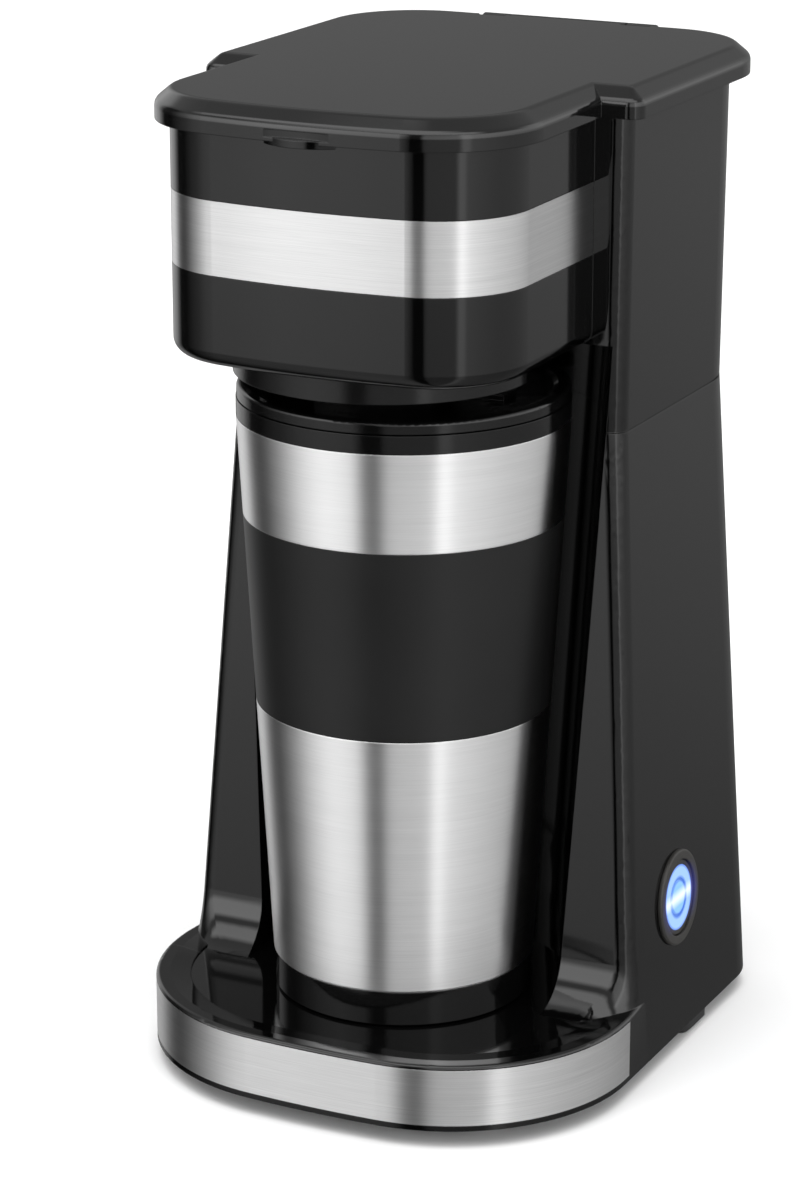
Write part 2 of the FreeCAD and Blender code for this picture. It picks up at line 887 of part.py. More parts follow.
def finger_lip():
    """Small curved lip at the front, pulled up by a finger."""
    reach = lip_reach + wall
    radius = (lip_half_width ** 2 + reach ** 2) / (2 * reach)
    z0 = lid_bottom - lip_drop
    disc = rod(radius, 0, radius - lid_front - lip_reach, z0, z0 + lip_height)
    ahead = -lid_front - lip_reach
    return disc.common(box(-lip_half_width, lip_half_width, ahead, ahead + reach, z0, z0 + lip_height))


def finger_pocket():
    """Scoop in the edge of the lid above the lip."""
    radius = (lip_half_width ** 2 + pocket_depth ** 2) / (2 * pocket_depth)
    z0 = lid_bottom - lip_drop + lip_height
    return rod(radius, 0, pocket_depth - radius - lid_front, z0, z0 + pocket_height)


def lid_shell():
    front = Part.makeLoft([lid_front_wire(inset, z, 0) for inset, z in lid_profile()], True, True)
    rear = Part.makeLoft([lid_rear_wire(inset, z) for inset, z in lid_profile()], True, True)
    body = front.fuse([rear, finger_lip()]).cut(finger_pocket())
    hollow = lid_slab(wall, lid_bottom - lip_drop - 1, lid_top - lid_top_thickness)
    body = body.cut(hollow.cut(hinge_zone(0)))
    body = body.cut(hinge_notches())
    seat = lid_bottom + liner_thickness
    body = body.fuse([rod(lid_boss_radius, x, y, seat, lid_top - lid_top_thickness + fit) for x, y in lid_bolts()])
    pilots = [rod(lid_bolt_radius + fit, x, y, seat - 1, lid_top - lid_top_thickness) for x, y in lid_bolts()]
    body = body.cut(pilots)
    barrel = bar_x(barrel_radius, -tongue_half_width, tongue_half_width, hinge_y, hinge_z)
    body = body.fuse(barrel)
    bore = bar_x(pin_radius + pin_clearance, -lid_half_width, lid_half_width, hinge_y, hinge_z)
    return body.cut(bore).removeSplitter()


def lid_liner():
    plate = lid_slab(wall + slip, lid_bottom, lid_bottom + liner_thickness)
    sinks = []
    for x, y in lid_bolts():
        sinks.append(rod(lid_bolt_radius + slip, x, y, lid_bottom - 1, lid_top))
        sinks.append(rod(lid_bolt_head + slip, x, y, lid_bottom - 1, lid_bottom + lid_bolt_head_height))
    return plate.cut([hinge_zone(slip)] + sinks).removeSplitter()


def lid_screws():
    screws = []
    for x, y in lid_bolts():
        head = rod(lid_bolt_head, x, y, lid_bottom, lid_bottom + lid_bolt_head_height)
        shank = rod(lid_bolt_radius, x, y, lid_bottom, lid_top - lid_top_thickness - slip)
        screws.append(joined([head, shank]))
    return Part.makeCompound(screws)


# Filter and drip outlet
def basket_line(z, inset):
    """Outer radius of the tapered basket wall."""
    share = (z - head_floor) / basket_height
    return basket_radius - basket_taper * (1 - share) - inset


def filter_basket():
    floor_top = basket_base + basket_wall
    profile = [
        (basket_hole_radius, basket_base),
        (basket_line(basket_base, basket_wall), basket_base),
        (basket_line(head_floor, basket_wall), head_floor),
        (basket_line(head_floor, 0), head_floor),
        (basket_line(basket_top - basket_wall, 0), basket_top - basket_wall),
        (basket_radius + basket_rim_width, basket_top - basket_wall),
        (basket_radius + basket_rim_width, basket_top),
        (basket_line(basket_top, basket_wall), basket_top),
        (basket_line(floor_top, basket_wall), floor_top),
        (basket_hole_radius, floor_top),
    ]
    return turned(profile, 0, basket_y)


def frame_line(z, inset):
    return basket_line(z, basket_wall + frame_gap + inset)


def filter_frame():
    low = basket_base + basket_wall + frame_floor_lift
    high = basket_top + frame_flange
    profile = [
        (frame_line(low, 0), low),
        (frame_line(basket_top, 0), basket_top),
        (basket_radius, basket_top),
        (basket_radius, high),
        (frame_line(basket_top, frame_wall), high),
        (frame_line(basket_top, frame_wall), basket_top),
        (frame_line(low, frame_wall), low),
    ]
    body = turned(profile, 0, basket_y)
    window_low = low + rib_width
    window_high = basket_top - rib_width
    reach = basket_radius
    windows = []
    for i in range(frame_ribs):
        turn = 360.0 * (i + 0.5) / frame_ribs
        span = 2 * math.pi * frame_line(low, frame_wall) / frame_ribs - rib_width
        window = box(0, reach, -span / 2, span / 2, window_low, window_high)
        window.rotate(V(0, 0, 0), V(0, 0, 1), turn)
        window.translate(V(0, basket_y, 0))
        windows.append(window)
    return body.cut(windows)


def filter_mesh():
    low = basket_base + basket_wall + frame_floor_lift
    near = frame_wall + fit
    far = near + mesh_thickness
    profile = [
        (0, low),
        (frame_line(low, near), low),
        (frame_line(basket_top, near), basket_top),
        (frame_line(basket_top, far), basket_top),
        (frame_line(low + mesh_thickness, far), low + mesh_thickness),
        (0, low + mesh_thickness),
    ]
    return turned(profile, 0, basket_y)


def drip_outlet():
    """Plate and round skirt under the head, with the drip nozzle."""
    outlet_radius = basket_radius - basket_wall
    plate = rod(outlet_radius, 0, basket_y, head_bottom - outlet_plate, head_bottom)
    front = basket_y - outlet_radius
    plate = plate.common(box(-outlet_radius, outlet_radius, front, basket_y + outlet_tail,
                             head_bottom - outlet_plate, head_bottom))
    skirt = tube(outlet_radius, outlet_radius - skirt_thickness, 0, basket_y, outlet_bottom, head_bottom)
    skirt = skirt.common(box(-outlet_radius, outlet_radius, front, basket_y, outlet_bottom, head_bottom))
    nozzle = rod(nozzle_radius, 0, basket_y, outlet_bottom + moving_gap, head_floor + basket_foot / 2)
    body = joined([plate, skirt, nozzle])
    return body.cut(rod(nozzle_bore, 0, basket_y, outlet_bottom - 1, head_floor + basket_foot))


# Tank and water path
def tank_wire(inset, z):
    half_width = tank_half_width - inset
    points = [(half_width, tank_front + inset), (half_width, tank_rear - inset),
              (-half_width, tank_rear - inset), (-half_width, tank_front + inset)]
    rear_corner = column_rear_corner - wall - tank_gap - inset
    front_corner = tank_front_corner - inset
    return rounded_wire(points, [front_corner, rear_corner, rear_corner, front_corner], z)


def water_tank():
    body = slab(tank_wire(0, shelf_z), tank_top - shelf_z)
    inside = shelf_z + tank_wall
    body = body.cut(slab(tank_wire(tank_wall, inside), tank_top - inside + 1))
    nipple = rod(tube_radius, boiler_half_span, inlet_y, shelf_z - nipple_length, shelf_z)
    body = body.fuse(nipple)
    return body.cut(rod(tube_bore, boiler_half_span, inlet_y, shelf_z - nipple_length - 1, inside + 1))


def tank_seal():
    low = shelf_z - shelf_thickness
    return tube(tube_radius + hose_wall, tube_radius + fit, boiler_half_span, inlet_y, low, shelf_z)


valve_top = shelf_z - valve_drop
ball_rest = math.sqrt(ball_radius ** 2 - ball_seat_bore ** 2) + ball_gap
ball_lift = math.sqrt(ball_radius ** 2 - tube_bore ** 2) + ball_gap
chamber_height = ball_rest + ball_travel + ball_lift
valve_seam = valve_top - valve_cap_height
valve_stop = valve_seam - chamber_height
valve_bottom = valve_stop - valve_floor


def valve_body():
    x, y = boiler_half_span, inlet_y
    body = joined([
        rod(valve_radius, x, y, valve_bottom, valve_seam),
        rod(tube_radius, x, y, valve_bottom - nipple_length, valve_bottom),
    ])
    bore = rod(ball_seat_bore, x, y, valve_bottom - nipple_length - 1, valve_seam)
    return body.cut([bore, rod(valve_chamber_radius, x, y, valve_stop, valve_seam)])


def valve_cap():
    x, y = boiler_half_span, inlet_y
    body = joined([
        rod(valve_radius, x, y, valve_seam, valve_top),
        rod(tube_radius, x, y, valve_top, valve_top + nipple_length),
    ])
    return body.cut(rod(tube_bore, x, y, valve_seam - 1, valve_top + nipple_length + 1))


def check_ball():
    return Part.makeSphere(ball_radius, V(boiler_half_span, inlet_y, valve_stop + ball_rest))


def tank_hose():
    high = shelf_z - shelf_thickness
    return tube(hose_radius, hose_bore, boiler_half_span, inlet_y, valve_top, high)


def inlet_hose():
    x = boiler_half_span
    points = [V(x, inlet_y, valve_bottom), V(x, inlet_y, boiler_z),
              V(x, boiler_leg_end - nipple_overlap, boiler_z)]
    return bent_tube(points, hose_bend, hose_radius, hose_bore)


def riser_hose():
    x = -boiler_half_span
    points = [V(x, boiler_leg_end - nipple_overlap, boiler_z), V(x, riser_y, boiler_z),
              V(x, riser_y, tank_top - clip_drop + clip_height)]
    return bent_tube(points, hose_bend, hose_radius, hose_bore)


spout_z = basket_top + frame_flange + spout_drop + spout_clearance + tube_radius


def spout_points(drop):
    start = V(-boiler_half_span, riser_y, tank_top - clip_drop - nipple_overlap)
    over = V(-spout_reach_x, basket_y + spout_reach_y, spout_z)
    return [start, V(start.x, start.y, spout_z), over, over - V(0, 0, drop)]


def hot_water_spout():
    drop = tube_radius + spout_drop
    return bent_tube(spout_points(drop), spout_bend, tube_radius, tube_bore)


def u_bar(span, radius, leg_end):
    """Round bar bent to a U that lies flat, open to the rear."""
    start = V(span, boiler_centre_y, boiler_z)
    disc = Part.Face(Part.Wire(Part.makeCircle(radius, start, V(0, 1, 0))))
    bend = disc.revolve(V(0, boiler_centre_y, boiler_z), V(0, 0, 1), -180)
    legs = both_sides(lambda side: bar_y(radius, side * span, boiler_centre_y, leg_end, boiler_z))
    return joined([bend] + legs)


def boiler_tube():
    body = u_bar(boiler_half_span, tube_radius, boiler_leg_end)
    return body.cut(u_bar(boiler_half_span, tube_bore, boiler_leg_end))


def heating_rod():
    return u_bar(rod_span, rod_radius, boiler_leg_end - nipple_overlap - rod_tail)


def saddle_span():
    """Inner and outer edges of a saddle, across the rod and the tube."""
    return rod_span - rod_radius - saddle_margin, boiler_half_span + tube_radius + saddle_margin


def saddle_grooves(side, grow):
    y0 = saddle_y - saddle_length
    y1 = saddle_y + saddle_length
    return [bar_y(tube_radius + grow, side * boiler_half_span, y0, y1, boiler_z),
            bar_y(rod_radius + grow, side * rod_span, y0, y1, boiler_z)]


def strap_bolts():
    """Places of the strap screws, at both ends of each saddle."""
    inner, outer = saddle_span()
    reach = saddle_margin / 2
    return [(side * x, saddle_y) for side in (1, -1) for x in (inner + reach, outer - reach)]


def saddle_block(side, z0, z1):
    inner, outer = saddle_span()
    x0, x1 = sorted((side * inner, side * outer))
    y0 = saddle_y - saddle_length / 2
    y1 = saddle_y + saddle_length / 2
    return box(x0, x1, y0, y1, z0, z1)


def heater_saddles():
    pilots = [rod(strap_bolt_radius + fit, x, y, plate_top + 1, boiler_z) for x, y in strap_bolts()]
    blocks = both_sides(lambda side: saddle_block(side, plate_top, boiler_z))
    cuts = both_sides(lambda side: saddle_grooves(side, fit))
    return Part.makeCompound([block.cut(cut + pilots) for block, cut in zip(blocks, cuts)])


def heater_straps():
    holes = [rod(strap_bolt_radius + slip, x, y, boiler_z - 1, boiler_z + tube_radius) for x, y in strap_bolts()]
    top = boiler_z + tube_radius + strap_height

    def strap(side):
        plate = saddle_block(side, boiler_z, boiler_z + strap_height)
        inner = rod_span - rod_radius - strap_height
        outer = boiler_half_span + tube_radius + strap_height
        x0, x1 = sorted((side * inner, side * outer))
        y0 = saddle_y - saddle_length / 2
        bridge = box(x0, x1, y0, y0 + saddle_length, boiler_z, top)
        return plate.fuse(bridge).cut(saddle_grooves(side, fit) + holes)

    return Part.makeCompound(both_sides(strap))


def strap_screws():
    screws = []
    seat = boiler_z + strap_height
    for x, y in strap_bolts():
        head = rod(strap_bolt_head, x, y, seat, seat + strap_bolt_head_height)
        shank = rod(strap_bolt_radius, x, y, seat - strap_bolt_length, seat)
        screws.append(joined([head, shank]))
    return Part.makeCompound(screws)


def thermostat():
    y1 = boiler_centre_y - boiler_half_span - tube_radius - fit
    return bar_y(thermostat_radius, 0, y1 - thermostat_length, y1, boiler_z)


def thermal_fuse():
    x = -(boiler_half_span + tube_radius + fuse_radius + fit)
    y0 = saddle_y - saddle_length / 2 - slip - fuse_length
    return bar_y(fuse_radius, x, y0, y0 + fuse_length, boiler_z)


def hose_clamps():
    """Spring clips round the hose ends."""
    outer = hose_radius + fit + clamp_wall
    inner = hose_radius + fit
    y0 = boiler_leg_end - nipple_overlap + clamp_width / 2
    clips = []
    for side in (1, -1):
        ring = bar_y(outer, side * boiler_half_span, y0, y0 + clamp_width, boiler_z)
        clips.append(ring.cut(bar_y(inner, side * boiler_half_span, y0, y0 + clamp_width, boiler_z)))
    for z0 in (valve_top + clamp_width / 2, valve_bottom - 1.5 * clamp_width):
        clips.append(tube(outer, inner, boiler_half_span, inlet_y, z0, z0 + clamp_width))
    return Part.makeCompound(clips)


# Power button, drawn with +z out of the wall
def button_bezel():
    flange = rod(bezel_radius, 0, 0, fit, bezel_flange)
    rim = [e for e in flange.Edges if max(abs(v.Point.z - bezel_flange) for v in e.Vertexes) < fit / 2]
    flange = flange.makeFillet(bezel_flange / 2, rim)
    sleeve = rod(bezel_sleeve_radius, 0, 0, -bezel_depth, bezel_flange / 2)
    body = joined([flange, sleeve])
    return right_wall(body.cut(rod(button_radius + moving_gap, 0, 0, -bezel_depth - 1, bezel_flange + 1)))


def power_button():
    cap = rod(button_radius, 0, 0, -button_depth, button_stand)
    stem = rod(stem_radius, 0, 0, -button_depth - stem_length, -button_depth)
    pocket = rod(lens_radius + fit, 0, 0, button_stand - lens_thickness, button_stand + 1)
    return right_wall(joined([cap, stem]).cut(pocket))


def button_lens():
    lens = rod(lens_radius, 0, 0, button_stand - lens_thickness, button_stand)
    ring = tube(lens_ring_radius, lens_ring_radius - lens_ring_width, 0, 0,
                button_stand - lens_thickness / 3, button_stand + 1)
    return right_wall(lens.cut(ring))


def power_switch():
    block = box(-switch_half, switch_half, -switch_half, switch_half, board_face, board_face + switch_depth)
    return right_wall(block.cut(rod(stem_radius + moving_gap, 0, 0, board_face - 1, board_face + switch_depth + 1)))


def circuit_board():
    back = board_face - board_thickness
    plate = box(-board_half_height, board_half_height, -board_half_length, board_half_length, back, board_face)
    holes = [rod(board_bolt_radius + slip, a, b, back - 1, board_face + 1) for a, b in board_corners()]
    return right_wall(plate.cut(holes))


def board_screws():
    screws = []
    back = board_face - board_thickness
    for a, b in board_corners():
        head = rod(board_bolt_head, a, b, back - board_bolt_head_height, back)
        shank = rod(board_bolt_radius, a, b, back, board_face + board_bolt_length - 1)
        screws.append(right_wall(joined([head, shank])))
    return Part.makeCompound(screws)


def indicator_light():
    reach = switch_half + led_radius + slip
    return right_wall(rod(led_radius, reach, 0, board_face, board_face + led_height))


# Mains inlet
def terminal_block():
    y0 = terminal_y - terminal_half_y
    y1 = terminal_y + terminal_half_y
    block = box(-terminal_half_x, terminal_half_x, y0, y1, plate_top, plate_top + terminal_height)
    step = 2 * terminal_half_x / 3
    wells = [rod(step / 4, step * i, terminal_y, plate_top + terminal_height / 3, plate_top + terminal_height + 1)
             for i in (-1, 0, 1)]
    return block.cut(wells)


def cord_gland():
    """Gland for the mains cord, with a tapered nose that is cut off upright."""
    outer = gland_radius + gland_flange
    low = -wall - gland_nut_height
    nose_length = rear_reach - column_rear
    flange = rod(outer, 0, 0, fit, gland_flange_height)
    body = rod(gland_radius, 0, 0, low, gland_flange_height)
    nut = rod(outer, 0, 0, low, -wall - slip)
    nose = Part.makeCone(gland_radius, gland_nose_radius, nose_length, V(0, 0, 0))
    bush = joined([flange, body, nut, nose])
    bush = rear_wall(bush.cut(rod(gland_bore, 0, 0, low - 1, nose_length + 1)))
    reach = gland_x - outer * 2
    return bush.common(box(reach, reach + outer * 4, 0, rear_reach, gland_z - outer * 2, gland_z + outer * 2))


# Mug
def mug_shell():
    profile = [
        (mug_radius(steel_bottom) - mug_edge, steel_bottom),
        (mug_radius(steel_bottom), steel_bottom + mug_edge),
        (mug_radius(sleeve_bottom), sleeve_bottom),
        (mug_radius(sleeve_bottom) - sleeve_depth, sleeve_bottom),
        (mug_radius(sleeve_top) - sleeve_depth, sleeve_top),
        (mug_radius(sleeve_top), sleeve_top),
        (mug_radius(steel_top), steel_top),
        (mug_radius(steel_top) - mug_wall, steel_top),
        (mug_radius(steel_bottom) - mug_wall, steel_bottom),
    ]
    return turned(profile, 0, mug_axis_y)


def mug_sleeve():
    z0 = sleeve_bottom + fit
    z1 = sleeve_top - fit
    depth = sleeve_depth - fit
    profile = [(mug_radius(z0), z0), (mug_radius(z1), z1), (mug_radius(z1) - depth, z1), (mug_radius(z0) - depth, z0)]
    return turned(profile, 0, mug_axis_y)


def liner_radius(z):
    """Outer radius of the mug's inner wall."""
    return mug_radius(z) - mug_wall - mug_space


def mug_liner():
    low = steel_bottom + mug_floor_lift
    floor = low + mug_liner_wall
    under = steel_top - mug_liner_wall
    edge = mug_radius(under) - mug_wall - fit
    profile = [
        (0, low),
        (liner_radius(low), low),
        (liner_radius(under), under),
        (edge, under),
        (edge, steel_top),
        (liner_radius(steel_top) - mug_liner_wall, steel_top),
        (liner_radius(floor) - mug_liner_wall, floor),
        (0, floor),
    ]
    return turned(profile, 0, mug_axis_y)


def mug_foot():
    top = steel_bottom + mug_foot_spigot
    rim = mug_radius(steel_bottom) - mug_foot_inset
    plug = mug_radius(steel_bottom) - mug_wall - fit
    profile = [
        (0, mug_bottom + 1),
        (rim - 2 * mug_foot_inset - 4, mug_bottom + 1),
        (rim - 2 * mug_foot_inset - 4, mug_bottom),
        (rim - mug_foot_inset, mug_bottom),
        (rim, mug_bottom + mug_foot_inset),
        (rim, steel_bottom),
        (plug, steel_bottom),
        (plug, top),
        (0, top),
    ]
    return turned(profile, 0, mug_axis_y)


collar_bore = mug_top_radius - collar_wall


def mug_collar():
    profile = [
        (collar_bore, steel_top),
        (mug_top_radius, steel_top),
        (mug_top_radius, collar_top),
        (collar_bore, collar_top),
    ]
    return turned(profile, 0, mug_axis_y)


mug_deck = mug_lid_top - lid_deck_drop


def slider_slot():
    """Pocket in the mug lid that the sip slider runs in."""
    x1 = sip_offset + slider_length / 2 + moving_gap
    x0 = sip_offset - sip_travel - slider_length / 2 - moving_gap
    half = slider_width / 2 + moving_gap
    floor = mug_deck - slider_thickness - moving_gap
    return box(x0, x1, mug_axis_y - half, mug_axis_y + half, floor, mug_lid_top + 1)


def mug_lid():
    low = mug_lid_bottom - plug_depth
    plug = collar_bore - seal_width / 2 - moving_gap
    edge = mug_top_radius - slip
    groove = collar_bore - seal_width - moving_gap
    seal_low = mug_lid_bottom - seal_height - 1
    under = mug_deck - lid_deck_thickness
    profile = [
        (0, under),
        (plug - plug_wall, under),
        (plug - plug_wall, low),
        (plug, low),
        (plug, seal_low),
        (groove, seal_low),
        (groove, seal_low + seal_height),
        (plug, seal_low + seal_height),
        (plug, mug_lid_bottom),
        (edge, mug_lid_bottom),
        (edge, mug_lid_top),
        (edge - lid_rim_width, mug_lid_top),
        (edge - lid_rim_width - lid_deck_drop, mug_deck),
        (0, mug_deck),
    ]
    body = turned(profile, 0, mug_axis_y)
    rim = edges_at(body, mug_lid_top, mug_axis_y + mug_top_radius + 1)
    body = body.makeFillet(min(lid_rim_radius, lid_rim_width / 3), rim)
    sip = rod(sip_radius, sip_offset, mug_axis_y, under - 1, mug_lid_top)
    fill = rod(fill_radius, 0, basket_y, under - 1, mug_lid_top + 1)
    return body.cut([slider_slot(), sip, fill])


def mug_lid_seal():
    seal_low = mug_lid_bottom - seal_height - 1
    inner = collar_bore - seal_width - moving_gap + fit
    outer = collar_bore - moving_gap
    return tube(outer, inner, 0, mug_axis_y, seal_low + fit, seal_low + seal_height - fit)


def sip_slider():
    top = mug_deck
    x0 = sip_offset - slider_length / 2
    x1 = sip_offset + slider_length / 2
    half = slider_width / 2
    plate = box(x0, x1, mug_axis_y - half, mug_axis_y + half, top - slider_thickness, top)
    nub = box(x0 + slider_length / 3, x1 - slider_length / 3, mug_axis_y - half * 0.7, mug_axis_y + half * 0.7,
              top - slider_thickness, top + nub_height)
    return joined([plate, nub])


PIECES = [
    upper_housing, lower_housing, base_rim, seam_screws, base_plate, base_screws, rubber_feet, base_band, head_band,
    lid_shell, lid_liner, lid_screws, hinge_pin,
    filter_basket, filter_frame, filter_mesh, drip_outlet,
    water_tank, tank_seal, tank_hose, valve_body, valve_cap, check_ball, inlet_hose,
    boiler_tube, heating_rod, heater_saddles, heater_straps, strap_screws, thermostat, thermal_fuse,
    riser_hose, hot_water_spout, hose_clamps,
    button_bezel, power_button, button_lens, power_switch, circuit_board, board_screws, indicator_light,
    terminal_block, cord_gland,
    mug_shell, mug_sleeve, mug_liner, mug_foot, mug_collar, mug_lid, mug_lid_seal, sip_slider,
]

os.makedirs("parts", exist_ok=True)
for make in PIECES:
    make().exportStep("parts/" + make.__name__ + ".step")
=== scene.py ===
import json
import math

import bpy
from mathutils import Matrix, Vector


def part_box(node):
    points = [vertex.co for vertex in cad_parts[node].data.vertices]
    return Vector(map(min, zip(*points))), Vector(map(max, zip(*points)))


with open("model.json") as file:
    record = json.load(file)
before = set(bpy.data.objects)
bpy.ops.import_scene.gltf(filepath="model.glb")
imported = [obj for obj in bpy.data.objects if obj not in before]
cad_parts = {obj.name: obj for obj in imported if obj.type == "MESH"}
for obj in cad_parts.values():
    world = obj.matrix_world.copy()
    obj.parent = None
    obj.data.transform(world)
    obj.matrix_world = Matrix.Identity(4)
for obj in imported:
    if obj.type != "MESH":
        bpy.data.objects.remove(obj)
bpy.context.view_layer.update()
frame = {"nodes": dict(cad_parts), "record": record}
nodes = frame["nodes"]

MM = 0.001
COLOUR = "NodeSocketColor"
NUMBER = "NodeSocketFloat"

# Places of the colour sockets on a mix node
MIX_FIRST = 6
MIX_SECOND = 7
MIX_RESULT = 2


# Node helpers
def link(tree, source, target):
    """Join a socket to an input, or set the input where the source is a plain number."""
    if isinstance(source, (int, float)):
        target.default_value = source
    else:
        tree.links.new(source, target)


def math_node(tree, operation, first, second=0.0):
    node = tree.nodes.new("ShaderNodeMath")
    node.operation = operation
    link(tree, first, node.inputs[0])
    link(tree, second, node.inputs[1])
    return node.outputs["Value"]


def noise(tree, vector, scale, detail, roughness):
    node = tree.nodes.new("ShaderNodeTexNoise")
    node.inputs["Scale"].default_value = scale
    node.inputs["Detail"].default_value = detail
    node.inputs["Roughness"].default_value = roughness
    tree.links.new(vector, node.inputs["Vector"])
    return node.outputs["Fac"]


def spread(tree, value, low, high, start=0.0, stop=1.0):
    """Map a value between start and stop to the range low to high."""
    node = tree.nodes.new("ShaderNodeMapRange")
    link(tree, value, node.inputs["Value"])
    link(tree, start, node.inputs["From Min"])
    link(tree, stop, node.inputs["From Max"])
    link(tree, low, node.inputs["To Min"])
    link(tree, high, node.inputs["To Max"])
    return node.outputs["Result"]


def mixed(tree, factor, first, second):
    """Mix two colours, each a socket or a plain colour."""
    node = tree.nodes.new("ShaderNodeMix")
    node.data_type = "RGBA"
    link(tree, factor, node.inputs["Factor"])
    for colour, place in ((first, MIX_FIRST), (second, MIX_SECOND)):
        socket = node.inputs[place]
        if isinstance(colour, tuple):
            socket.default_value = (*colour, 1.0)
        else:
            tree.links.new(colour, socket)
    return node.outputs[MIX_RESULT]


def stretched(tree, vector, scale):
    node = tree.nodes.new("ShaderNodeMapping")
    node.inputs["Scale"].default_value = scale
    tree.links.new(vector, node.inputs["Vector"])
    return node.outputs["Vector"]


# Shared surface effects
FINISH_INPUTS = [
    ("Dark", COLOUR),
    ("Light", COLOUR),
    ("Least Roughness", NUMBER),
    ("Most Roughness", NUMBER),
]
FINISH_OUTPUTS = [("Colour", COLOUR), ("Roughness", NUMBER), ("Height", NUMBER)]

# Scale of the brushing along x, y and z: long level streaks, and shorter and finer ones over them
LONG_STREAKS = (12.0, 12.0, 3600.0)
SHORT_STREAKS = (90.0, 90.0, 9000.0)
LONG_WEIGHT = 0.55
SHORT_WEIGHT = 0.45


def new_group(name, inputs, outputs):
    """Shader node group with named inputs and outputs."""
    group = bpy.data.node_groups.new(name, "ShaderNodeTree")
    for label, kind in inputs:
        group.interface.new_socket(name=label, in_out="INPUT", socket_type=kind)
    for label, kind in outputs:
        group.interface.new_socket(name=label, in_out="OUTPUT", socket_type=kind)
    start = group.nodes.new("NodeGroupInput")
    end = group.nodes.new("NodeGroupOutput")
    where = group.nodes.new("ShaderNodeTexCoord").outputs["Object"]
    return group, start.outputs, end.inputs, where


def colour_and_gloss(group, start, end, drift):
    """Let colour and roughness follow one drifting value between their two ends."""
    link(group, mixed(group, drift, start["Dark"], start["Light"]), end["Colour"])
    roughness = spread(group, drift, start["Least Roughness"], start["Most Roughness"])
    link(group, roughness, end["Roughness"])


def moulded_group():
    """Moulded plastic: faint orange peel, and colour and gloss that drift a little over the surface."""
    group, start, end, where = new_group("moulded_skin", FINISH_INPUTS, FINISH_OUTPUTS)
    broad = noise(group, where, 35.0, 3.0, 0.55)
    fine = noise(group, where, 900.0, 2.0, 0.5)
    colour_and_gloss(group, start, end, broad)
    link(group, fine, end["Height"])
    return group


def brushed_group():
    """Brushed metal: fine streaks that run level round the piece."""
    group, start, end, where = new_group("level_brushing", FINISH_INPUTS, FINISH_OUTPUTS)
    long_streaks = noise(group, stretched(group, where, LONG_STREAKS), 1.0, 3.0, 0.6)
    short_streaks = noise(group, stretched(group, where, SHORT_STREAKS), 1.0, 2.0, 0.5)
    long_streaks = math_node(group, "MULTIPLY", long_streaks, LONG_WEIGHT)
    short_streaks = math_node(group, "MULTIPLY", short_streaks, SHORT_WEIGHT)
    streaks = math_node(group, "ADD", long_streaks, short_streaks)
    streaks = spread(group, streaks, 0.0, 1.0, 0.3, 0.7)
    colour_and_gloss(group, start, end, streaks)
    link(group, streaks, end["Height"])
    return group


def grained_group():
    """Fine grain: cast metal, rubber and silicone, with grains of one size and softer patches."""
    inputs = FINISH_INPUTS + [("Grain", NUMBER)]
    group, start, end, where = new_group("fine_grain", inputs, FINISH_OUTPUTS)
    patches = noise(group, where, 90.0, 4.0, 0.6)
    grains = group.nodes.new("ShaderNodeTexVoronoi")
    link(group, where, grains.inputs["Vector"])
    link(group, start["Grain"], grains.inputs["Scale"])
    colour_and_gloss(group, start, end, patches)
    link(group, grains.outputs["Distance"], end["Height"])
    return group


def button_place_group():
    """Distance from the button's axis and from its level centre line, in millimetres."""
    group, _, end, where = new_group("button_place", [], [("Radius", NUMBER), ("Level", NUMBER)])
    low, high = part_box("button_lens")
    apart = group.nodes.new("ShaderNodeSeparateXYZ")
    link(group, where, apart.inputs["Vector"])
    along = math_node(group, "SUBTRACT", apart.outputs["Y"], (low[1] + high[1]) / 2)
    up = math_node(group, "SUBTRACT", apart.outputs["Z"], (low[2] + high[2]) / 2)
    along = math_node(group, "DIVIDE", along, MM)
    up = math_node(group, "DIVIDE", up, MM)
    along_square = math_node(group, "MULTIPLY", along, along)
    up_square = math_node(group, "MULTIPLY", up, up)
    squares = math_node(group, "ADD", along_square, up_square)
    link(group, math_node(group, "SQRT", squares), end["Radius"])
    link(group, math_node(group, "ABSOLUTE", up), end["Level"])
    return group


MOULDED = moulded_group()
BRUSHED = brushed_group()
GRAINED = grained_group()
BUTTON_PLACE = button_place_group()

# Depth of the bump on plastic and on brushed steel
SKIN_DEPTH = 0.05 * MM
BRUSH_DEPTH = 0.002 * MM

GLOSS_IOR = 1.58
BRUSH_STRETCH = 0.92
BRUSH_TURN = 0.25
SOFT_DEPTH = 2.0 * MM

# Where the button's light starts and ends, in millimetres from its axis or from its centre line
GLOW_RADIUS = (8.6, 13.0)
GLOW_LEVEL = (0.5, 9.0)
LENS_MIDDLE = (4.2, 6.0)
# Heights from the lens's centre line over which its painted white highlight fades out
LENS_GLINT_LEVEL = (0.2, 2.6)
LENS_RIM = (8.4, 9.3)
RING_RADIUS = 5.2
RING_EDGE = (0.25, 1.1)

GLOW_BLUE = (0.030, 0.033, 0.26)
MIDDLE_BLUE = (0.26, 0.50, 0.66)
OUTER_BLUE = (0.36, 0.53, 0.84)
# White of the painted highlight, a glint, across the lens
GLINT_WHITE = (0.95, 1.0, 1.0)
RING_BLUE = (0.05, 0.11, 0.34)
RIM_BLUE = (0.04, 0.07, 0.34)

RUN_SCALE = 180.0
RUN_WIDTH = 0.06
RUN_GREEN = (0.03, 0.20, 0.07)
SPOT_SCALE = 260.0
SPOT_EDGE = (0.16, 0.22)
SOLDER_GREY = (0.55, 0.56, 0.57)


# Finishes
def new_material(name):
    material = bpy.data.materials.new(name)
    material.use_nodes = True
    return material, material.node_tree, material.node_tree.nodes["Principled BSDF"]


def placed_group(tree, group):
    node = tree.nodes.new("ShaderNodeGroup")
    node.node_tree = group
    return node


